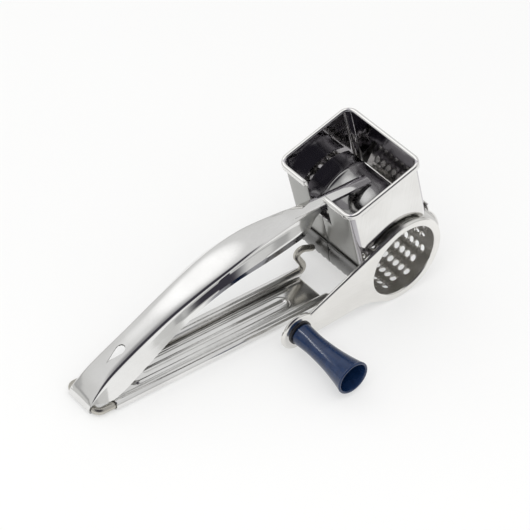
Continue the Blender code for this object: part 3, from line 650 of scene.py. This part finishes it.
def tube_along(route, radius, sides=20):
    """A round wire along a route, each end closed by a shallow cap."""
    bm = bmesh.new()
    side = Vector((0, 0, 1))
    last = len(route) - 1
    rows = []
    for i, point in enumerate(route):
        ahead = (route[min(i + 1, last)] - route[max(i - 1, 0)]).normalized()
        side = (side - ahead * side.dot(ahead)).normalized()
        other = ahead.cross(side)
        ring = []
        for k in range(sides):
            turn = 2 * math.pi * k / sides
            ring.append(side * math.cos(turn) + other * math.sin(turn))
        steps = {0: START_CAP, last: END_CAP}.get(i, ((0.0, 1.0),))
        for along, share in steps:
            centre = point + ahead * along * radius
            rows.append([tuple(centre + arm * radius * share) for arm in (*ring, ring[0])])
    grid(bm, rows)
    return bm


WIRE_FOLD = 3.4             # centre-line radii of its front bends, its rear corners
WIRE_BEND = 3.0
WIRE_EASE = 50.0            # and where each leg leaves the plate for the hinge
FAR_WELD = (10.5, 18.0)     # where each leg ends on the rear guard: aside, and height
NEAR_WELD = (-21.5, 16.5)
KNEE_RISE = 22.4            # of the far leg's upper bend


def build_wire():
    """One bent wire: both legs, the hinge pin between, and ends welded to the rear guard."""
    pin_x = PIN_AXIS.x / MM
    rear = leg_span(-PLATE_END)
    front = leg_span(PLATE_END)
    far = [(guard_rear(FAR_WELD[1]) + 0.9, *FAR_WELD), (PLATE_END - 7.9, front, KNEE_RISE),
           (PLATE_END + 6.2, front, WIRE_Z), (-PLATE_END, rear, WIRE_Z), (pin_x, rear, WIRE_Z)]
    near = [(pin_x, -rear, WIRE_Z), (-PLATE_END, -rear, WIRE_Z), (PLATE_END + 3.0, -front, WIRE_Z),
            (PLATE_END + 6.5, NEAR_WELD[0], WIRE_Z + WIRE_FOLD), (guard_rear(NEAR_WELD[1]), *NEAR_WELD)]
    half = [WIRE_FOLD, WIRE_FOLD, WIRE_EASE, WIRE_BEND]
    route = rounded_path(far + near, half + half[::-1], 8)
    place("frame_rod", tube_along(route, WIRE_RADIUS), handle_place, "frame", bent_wire,
          ["frame_wire"], crease=50)


# ---------------------------------------------------------------------- crank
RING = DRUM_AXIS.z / MM     # outside radius of the ring, which reaches the resting plane
OPENING = 21.0
ARM_LENGTH = (KNOB_AXIS - DRUM_AXIS).xz.length / MM
TIP = 10.8                  # outside radius of the arm's round tip
TIP_UPPER = math.radians(142)       # the tip's round runs between these angles
TIP_LOWER = math.radians(232)
RING_LEAVE = math.radians(-52)      # the ring's round ends here, below the arm
ARM_TAPER = 0.111           # slope of the arm's lower edge
ARM_ROOT = RING + 8.2       # that edge begins this far from the drum's axis
ROOT_REACH = 10.0           # how far back it aims, for the curve that joins it to the ring
ARM_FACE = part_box("crank_arm")[0].y / MM
ARM_DEPTH = 2.0
EDGE_TURN = 1.0             # radius that the outer edge turns back with
LIP_TURN = 0.9              # and the lip of the opening
BOSS_RISE = 0.15


def crank_outline(inset):
    """Ring, tapering arm and round tip, drawn inwards by the inset."""
    ring, tip = RING - inset, TIP - inset
    shoulder = (ARM_LENGTH + tip * math.cos(TIP_UPPER), tip * math.sin(TIP_UPPER))
    heel = (ARM_LENGTH + tip * math.cos(TIP_LOWER), tip * math.sin(TIP_LOWER))
    leaves = math.atan2(shoulder[1], shoulder[0]) + math.acos(ring / math.hypot(*shoulder))
    landing = Vector((ring * math.cos(RING_LEAVE), ring * math.sin(RING_LEAVE)))
    joins = Vector((ARM_ROOT, heel[1] - ARM_TAPER * (heel[0] - ARM_ROOT)))
    corner = joins - Vector((ROOT_REACH, ARM_TAPER * ROOT_REACH))
    outline = arc(ring, leaves, 2 * math.pi + RING_LEAVE, 72)
    for i in range(1, 9):
        t = i / 8
        outline.append(tuple((1 - t) ** 2 * landing + 2 * t * (1 - t) * corner + t * t * joins))
    outline += arc(tip, TIP_LOWER - 2 * math.pi, TIP_UPPER, 44, (ARM_LENGTH, 0))
    return outline


def fill_between(bm, loops, z):
    """Flat faces between outlines at one height."""
    edges = []
    for loop in loops:
        ring = [bm.verts.new((x, y, z)) for x, y in loop]
        edges += [bm.edges.new(pair) for pair in zip(ring, ring[1:] + ring[:1])]
    bmesh.ops.triangle_fill(bm, use_beauty=True, use_dissolve=False, edges=edges)


def rolled(radius, steps):
    """A quarter turn of an edge, from the flat face in to the turned-back side: how far
    in from that side, and how far back from the face."""
    turns = [math.pi / 2 * i / steps for i in range(steps + 1)]
    return [(radius * (1 - math.sin(a)), radius * (1 - math.cos(a))) for a in turns]


def build_crank():
    """A flat pressed arm: its edge turned back, the mouth's lip rolled in, and a
    raised boss round the knob's spindle."""
    face = ARM_FACE + SHEET / 2
    bm = bmesh.new()
    edge = [(SHEET / 2 + inset, face + depth) for inset, depth in rolled(EDGE_TURN, 5)]
    edge.append((SHEET / 2, ARM_FACE + ARM_DEPTH))
    loops = [(crank_outline(inset), z) for inset, z in edge]
    grid(bm, [[(x, y, z) for x, y in loop + loop[:1]] for loop, z in loops])
    mouth = OPENING + SHEET / 2
    lip = [(arc(mouth + inset, 0, 2 * math.pi, 96), face + depth) for inset, depth in rolled(LIP_TURN, 4)]
    grid(bm, [[(*point, z) for point in loop] for loop, z in lip])
    boss = [(arc(radius, 0, 2 * math.pi, 48, (ARM_LENGTH, 0)), face - BOSS_RISE * share)
            for radius, share in ((8.6, 0.0), (8.1, 0.2), (7.4, 0.8), (6.9, 1.0), (4.4, 1.0), (2.35, 1.0))]
    grid(bm, [[(*point, z) for point in loop] for loop, z in boss])
    fill_between(bm, [loops[0][0], lip[0][0][:-1], boss[0][0][:-1]], face)
    place("crank_plate", bm, crank_place, "crank", polished_arm, ["crank_arm"],
          SHEET, 0.1)


# ----------------------------------------------------------------------- drum
DRUM_RADIUS = 22.0
TOOTH = 1.3
DRUM_SHEET = 0.5
ROWS = 18
COLUMNS = 11
DRUM_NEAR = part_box("grating_drum")[0].y / MM
DRUM_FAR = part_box("grating_drum")[1].y / MM
PITCH = 4.2
FIRST = DRUM_NEAR + 4.8
ROW_PHASE = 0.385           # where the first row stands, as a share of the rows' spacing
CELL_SIDE = 4               # steps along each side of a tooth's cell
TOOTH_POINTS = 5
TOOTH_WIDTH = 1.2           # a tooth is this much wider round the drum than along it
# Rings of a tooth from its foot up: radius, rise, and how far its points stand out.
TOOTH_RINGS = ((2.15, 0.0, 0.0), (1.95, 0.16, 0.0), (1.75, 0.55, 0.08), (1.58, TOOTH - 0.25, 0.24))


def on_drum(angle, height, rise=0.0):
    """A point on the middle of the drum's sheet, or a rise outside it."""
    radius = DRUM_RADIUS - DRUM_SHEET / 2 + rise
    return (radius * math.cos(angle), radius * math.sin(angle), height)


def tooth_cell(bm, angle, height):
    """A square of drum wall with a punched hole whose torn lip stands up in points."""
    wide, tall = 2 * math.pi / ROWS, PITCH
    corners = [(-0.5, -0.5), (0.5, -0.5), (0.5, 0.5), (-0.5, 0.5)]
    border = []
    for start, end in zip(corners, corners[1:] + corners[:1]):
        for i in range(CELL_SIDE):
            t = i / CELL_SIDE
            border.append((start[0] + (end[0] - start[0]) * t, start[1] + (end[1] - start[1]) * t))
    rings = [[on_drum(angle + u * wide, height + v * tall) for u, v in border]]
    for radius, rise, point in TOOTH_RINGS:
        ring = []
        for u, v in border:
            turn = math.atan2(v, u)
            lift = rise + point * math.cos(TOOTH_POINTS * turn + angle * 7)
            ring.append(on_drum(angle + TOOTH_WIDTH * radius * math.cos(turn) / DRUM_RADIUS,
                                height + radius * math.sin(turn), lift))
        rings.append(ring)
    grid(bm, [ring + ring[:1] for ring in rings])


def build_drum():
    """A sheet tube with staggered rows of raised cutting teeth."""
    bm = bmesh.new()
    step = PITCH / CELL_SIDE
    levels = [DRUM_NEAR, *(FIRST + step * i for i in range(-4, CELL_SIDE * COLUMNS + 4)), DRUM_FAR]
    for row in range(ROWS):
        angle = 2 * math.pi * (row + ROW_PHASE) / ROWS
        low = FIRST + (PITCH / 2 if row % 2 else 0.0)
        for column in range(COLUMNS):
            tooth_cell(bm, angle, low + PITCH * (column + 0.5))
        near_band = [z for z in levels if z < low + 0.01]
        far_band = [z for z in levels if z > low + PITCH * COLUMNS - 0.01]
        turns = [angle + 2 * math.pi / ROWS * (i / CELL_SIDE - 0.5) for i in range(CELL_SIDE + 1)]
        for band in (near_band, far_band):
            grid(bm, [[on_drum(turn, height) for turn in turns] for height in band])
    place("toothed_drum", bm, crank_place, "crank", drum_sheet, ["grating_drum"],
          DRUM_SHEET, 0.0, crease=50)


# ----------------------------------------------------------------------- knob
def build_knob():
    """A flared hollow knob with a rolled end and a short collar at its base."""
    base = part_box("knob")[1].y / MM
    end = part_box("knob")[0].y / MM
    length = base - end
    flare = smooth([(6.1, -0.9), (6.05, -2.5), (5.7, -11.0), (6.4, -22.0), (7.7, -31.0),
                    (9.1, -length + 2.2), (9.5, -length + 0.9)], 5)
    outer = [(5.3, 0.0), (5.8, -0.15), (6.05, -0.45), *flare]
    lip = [(9.42, -length + 0.35), (9.15, -length + 0.06), (8.75, -length), (8.35, -length + 0.1),
           (8.1, -length + 0.45)]
    bore = smooth([(8.0, -length + 1.0), (7.2, -length + 5.0), (5.6, -length + 14.0),
                   (4.2, -length + 25.0)], 4)
    profile = outer + lip + bore + [(2.3, -length + 25.0), (2.3, 0.0)]
    bm = turned([(radius, base + height) for radius, height in profile], 96)
    return place("knob_grip", bm, knob_place, "knob_body", knob_plastic, ["knob"],
                 crease=45)


# --------------------------------------------------------------- upper handle
# Stations ahead of the hinge pin: distance, height, half width of the top, how far
# the flanges spread, how deep they hang, and how much of them is a turned-down lip.
HANDLE_STATIONS = [
    (-2.0, 2.2, 7.9, 0.2, 0.3, 0.0),
    (0.0, 5.1, 7.8, 0.8, 1.8, 0.0),
    (5.3, 10.9, 7.5, 3.2, 7.4, 0.0),
    (13.4, 17.0, 7.1, 4.2, 12.1, 0.0),
    (30.0, 26.9, 6.9, 4.2, 11.2, 0.0),
    (46.7, 36.3, 7.3, 3.8, 8.4, 0.1),
    (64.0, 44.4, 8.1, 3.3, 6.4, 0.6),
    (81.6, 51.3, 8.7, 3.2, 6.6, 1.0),
    (100.0, 56.4, 7.9, 3.6, 9.2, 1.0),
    (119.7, 58.4, 5.9, 3.4, 10.4, 1.0),
    (132.0, 58.8, 4.4, 2.6, 10.2, 0.8),
    (140.5, 59.0, 3.4, 0.9, 4.6, 0.0),
]
TONGUE_END = 178.5
TONGUE_HEIGHT = 59.3
CROWN_RISE = 0.6            # of the top's middle over its shoulders
CROWN = ((0.25, 0.57), (0.48, 0.44), (0.66, 0.29))      # share of the half width, and rise
FLANGE_SHARES = (0.16, 0.34, 0.48, 0.56, 0.62, 0.74, 0.87, 1.0)
LIP_START = 0.56            # where down the flange its lip begins
HOLE_ROUND = 2.5            # the teardrop's round end: radius and place ahead of the pin
HOLE_PLACE = 20.9
HOLE_POINT = 12.6           # and the place of its point


def handle_section(x, z, half, spread, depth, lip):
    """Crowned top, rolled shoulder with a creased foot, spread flange and its lip.

    The lowest part of the flange turns upright as far as the lip's share says."""
    half, spread, depth = max(half, 1.0), max(spread, 0.02), max(depth, 0.3)
    drop = min(1.0, depth / 4)
    right = [(half * share, rise) for share, rise in CROWN]
    right += [(half - 1.7 * drop, 0.12), (half - 1.15 * drop, 0.02), (half - 0.62 * drop, -0.12 * drop),
              (half - 0.25 * drop, -0.36 * drop), (half - 0.05 * drop, -0.66 * drop), (half, -1.0 * drop)]
    for share in FLANGE_SHARES:
        across = share + (min(1.0, share / LIP_START) - share) * min(1.0, max(0.0, lip))
        right.append((half + spread * across, (-1.0 - (depth / drop - 1.0) * share) * drop))
    left = [(x, -y, z + rise) for y, rise in reversed(right)]
    return left + [(x, 0, z + CROWN_RISE)] + [(x, y, z + rise) for y, rise in right]


def teardrop_cutter():
    """An upright bar with a teardrop section, its point towards the hinge."""
    outline = arc(HOLE_ROUND, math.radians(-104), math.radians(104), 28, (HOLE_PLACE, 0))
    outline.append((HOLE_POINT, 0))
    cut = bmesh.new()
    low = [cut.verts.new((x, y, 5.0)) for x, y in outline]
    high = [cut.verts.new((x, y, 45.0)) for x, y in outline]
    cut.faces.new(low)
    cut.faces.new(high[::-1])
    for i in range(len(outline)):
        j = (i + 1) % len(outline)
        cut.faces.new((low[j], low[i], high[i], high[j]))
    bmesh.ops.recalc_face_normals(cut, faces=cut.faces)
    bmesh.ops.transform(cut, matrix=lever_place @ Matrix.Scale(MM, 4), verts=cut.verts)
    teardrop = bpy.data.meshes.new("teardrop_cut")
    cut.to_mesh(teardrop)
    cut.free()
    cutter = bpy.data.objects.new("teardrop_cut", teardrop)
    bpy.context.scene.collection.objects.link(cutter)
    return cutter


def build_upper_handle():
    """One pressed sheet: curled on the hinge pin, a tongue at the front, and a
    teardrop hole to hang it by."""
    root_x, root_z = HANDLE_STATIONS[-1][:2]
    rows = list(HANDLE_STATIONS)
    for share, depth in ((0.25, 1.8), (0.62, 1.2), (1.0, 0.4)):
        rows.append((root_x + (TONGUE_END - root_x) * share,
                     root_z + (TONGUE_HEIGHT - root_z) * share, 3.2, 0.2, depth, 0.0))
    sections = [handle_section(*station) for station in smooth(rows, 8)]
    curled = [[(x, y, z) for _, y, _ in sections[0]]
              for x, z in arc(CURL, math.radians(-55), math.radians(-203), 14)]
    place("squeeze_handle", sheet_of(curled + sections), lever_place, "lever", polished_handle,
          ["upper_handle"], SHEET, 0.1, teardrop_cutter())


# -------------------------------------------------------------------- presser
PRESS_ANGLE = math.radians(3.4)     # how far the handle closes before the presser is on the drum
PRESSER_ROOM = 0.5                  # and the room that it then keeps to the teeth
PRESSER_BEAD = 12.8                 # each bead: place aside, half width and height
PRESSER_BEAD_HALF = 1.7
PRESSER_BEAD_RISE = 0.55


def build_presser():
    """A curved saddle with two shallow beads along its arc."""
    lift = Matrix.Rotation(-PRESS_ANGLE, 4, "Y")
    centre = PIN_AXIS + lift @ (DRUM_AXIS - PIN_AXIS)
    cradle = frame_of((centre.x, 0, centre.z), LEAN, UPWARD)
    radius = DRUM_RADIUS + TOOTH + PRESSER_ROOM + SHEET / 2
    side = HALF_WIDTH - 1.8
    ys = [-side, -side + 0.6, -18, -14.5, -13.6, -12.8, -12.0, -11.1, -7, 0,
          7, 11.1, 12.0, 12.8, 13.6, 14.5, 18, side - 0.6, side]
    rows = []
    for y in ys:
        bead = PRESSER_BEAD_RISE * ease(1 - abs(abs(y) - PRESSER_BEAD) / PRESSER_BEAD_HALF)
        rows.append([(x, y, z) for x, z in
                     arc(radius + bead, math.radians(138), math.radians(55), 40)])
    place("presser_saddle", sheet_of(rows), cradle, "lever", saddle_sheet,
          ["presser_plate"], SHEET, 0.12)


build_hopper()
build_guards()
build_lower_handle()
build_wire()
build_crank()
build_drum()
knob = build_knob()
build_upper_handle()
build_presser()

KEPT = {
    "near_collar": polished_sheet,
    "far_side_plate": polished_sheet,
    "far_bearing_bush": bush_plastic,
    "drum_end_disc": drum_sheet,
    "drum_axle": turned_steel,
    "axle_clip": turned_steel,
    "knob_spindle": turned_steel,
    "knob_washer": dark_washer,
    "knob_end_washer": turned_steel,
}
for node, material in KEPT.items():
    frame["nodes"][node].data.materials.clear()
    frame["nodes"][node].data.materials.append(material)


# ---------------------------------------------------------------------- stage
FLOOR_HALF = 6.0
FLOOR_GLOW = 0.43           # the paper's own light, which keeps its far part as pale as its near


def build_floor():
    """A wide pale paper floor."""
    half = FLOOR_HALF
    mesh = bpy.data.meshes.new("paper_floor")
    mesh.from_pydata([(-half, -half, 0), (half, -half, 0), (half, half, 0), (-half, half, 0)], [],
                     [(0, 1, 2, 3)])
    item = bpy.data.objects.new("paper_floor", mesh)
    bpy.context.scene.collection.objects.link(item)
    material, shader, spot = start_finish("paper")
    tone = spot.noise(3.0, 2.0).mixed((0.45, 0.45, 0.447, 1.0), (0.48, 0.48, 0.477, 1.0))
    shader.inputs["Emission Color"].default_value = (1.0, 1.0, 0.995, 1.0)
    shader.inputs["Emission Strength"].default_value = FLOOR_GLOW
    plug(shader.inputs["Base Color"], tone)
    shader.inputs["Roughness"].default_value = 0.9
    shader.inputs["Specular IOR Level"].default_value = 0.1
    item.data.materials.append(material)


def softbox(name, place_at, aim, width, height, power):
    """A rectangular lamp aimed at a point, which polished steel doesn't mirror."""
    lamp = bpy.data.lights.new(name, "AREA")
    lamp.shape = "RECTANGLE"
    lamp.size = width
    lamp.size_y = height
    lamp.energy = power
    item = bpy.data.objects.new(name, lamp)
    bpy.context.scene.collection.objects.link(item)
    turn = (Vector(aim) - Vector(place_at)).to_track_quat("-Z", "Y").to_matrix().to_4x4()
    item.matrix_world = Matrix.Translation(place_at) @ turn
    item.visible_glossy = False
    return item


def build_studio(knob):
    """A pale room with a dark gap overhead, a soft glow behind it and a darker band low
    down. Polished pieces mirror that room, dull ones are lit by an even white, and the
    camera sees a plain pale one. A strip lamp lights the knob alone."""
    world = bpy.data.worlds.new("studio")
    bpy.context.scene.world = world
    world.use_nodes = True
    tree = world.node_tree
    towards = Field(tree.nodes.new("ShaderNodeTexCoord").outputs["Generated"])

    def facing(direction, low, high):
        return towards.along(Vector(direction).normalized()).between(low, high)

    height = towards.node("SeparateXYZ", {}, {0: towards}, 2)
    pale = height.between(0.0, 0.9).mixed((0.66, 0.66, 0.65, 1), (0.78, 0.78, 0.78, 1))
    gap = facing((-0.35, -0.45, 0.82), 0.66, 0.86)
    dark = gap.mixed(pale, (0.045, 0.042, 0.055, 1))
    glow = facing((-0.10, 0.53, 0.79), 0.95, 0.997)
    bright = glow.mixed(dark, (1.25, 1.25, 1.25, 1))
    horizon = height.between(0.16, 0.20) * (1 - height.between(0.26, 0.32))
    room = (0.4 * horizon).mixed(bright, (0.05, 0.05, 0.06, 1))
    seen = Field(tree.nodes.new("ShaderNodeLightPath").outputs["Is Camera Ray"])
    soft = Field(tree.nodes.new("ShaderNodeLightPath").outputs["Is Diffuse Ray"])
    shown = seen.mixed(soft.mixed(room, (0.95, 0.95, 0.95, 1)), (0.86, 0.86, 0.86, 1))
    plug(tree.nodes["Background"].inputs["Color"], shown)
    tree.nodes["Background"].inputs["Strength"].default_value = 1.0
    softbox("key_box", (-0.75, -0.55, 1.5), (0, 0, 0), 1.4, 1.4, 12)
    strip = softbox("knob_strip", knob.matrix_world @ Vector((-0.62, 0.60, 0.80)), (0.03, -0.05, 0.01),
                    0.05, 0.9, 3.0)
    strip.visible_glossy = True
    only = bpy.data.collections.new("lit_by_strip")
    only.objects.link(knob)
    strip.light_linking.receiver_collection = only
    bpy.context.scene.view_settings.view_transform = "Standard"


build_floor()
build_studio(knob)
